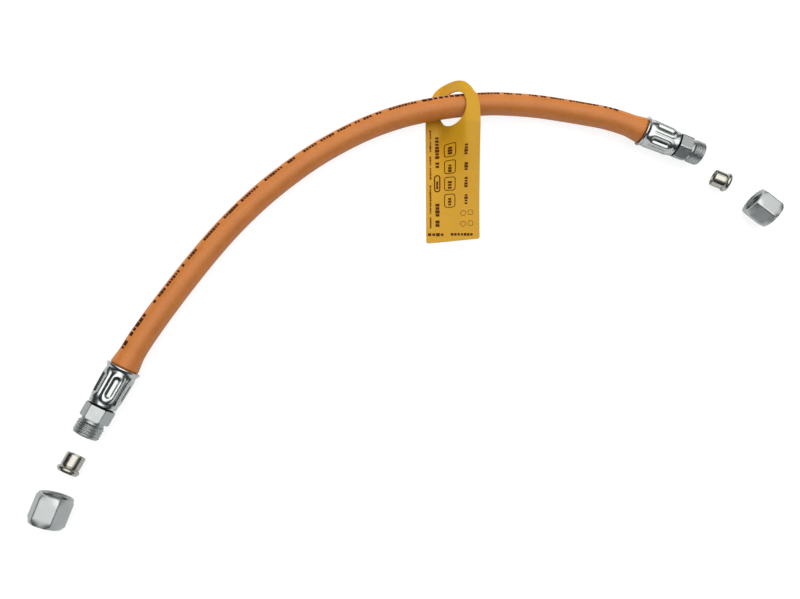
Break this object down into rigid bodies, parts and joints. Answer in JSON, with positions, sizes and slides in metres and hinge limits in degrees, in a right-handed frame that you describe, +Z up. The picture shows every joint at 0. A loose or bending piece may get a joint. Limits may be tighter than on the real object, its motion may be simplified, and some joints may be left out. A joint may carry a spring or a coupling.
{
  "type": "flexible gas hose",
  "caption": "Short orange rubber gas hose bent in an arc, a crimped threaded fitting at each end, loose cutting rings and union nuts, and a plastic tag hung on it",
  "frame": {"origin": "on the surface that the hose lies on, below the middle of the whole set's box", "axes": "+Z up off that surface, +X from the low end (a) towards the high end (b), +Y towards the outside of the bend"},
  "size_m": [0.4196, 0.2512, 0.018],
  "materials": {
    "hose_rubber": "smooth orange extruded rubber, slightly satin",
    "tag_plastic": "satin yellow plastic sheet",
    "zinc_plate": "bright zinc plated steel",
    "ring_steel": "turned steel, polished"
  },
  "bodies": {
    "hose_set": {"hose": "hose_rubber", "ferrule_a": "zinc_plate", "end_fitting_a": "zinc_plate", "cutting_ring_a": "ring_steel", "union_nut_a": "zinc_plate", "ferrule_b": "zinc_plate", "end_fitting_b": "zinc_plate", "cutting_ring_b": "ring_steel", "union_nut_b": "zinc_plate"},
    "tag": {"tag": "tag_plastic"}
  },
  "joints": [
    {"name": "tag_swing", "type": "hinge", "parent": "hose_set", "child": "tag", "pos_m": [0.00846, 0.10827, 0.00835], "axis": [-0.9842, -0.1771, 0], "range_deg": [0, 150]}
  ]
}
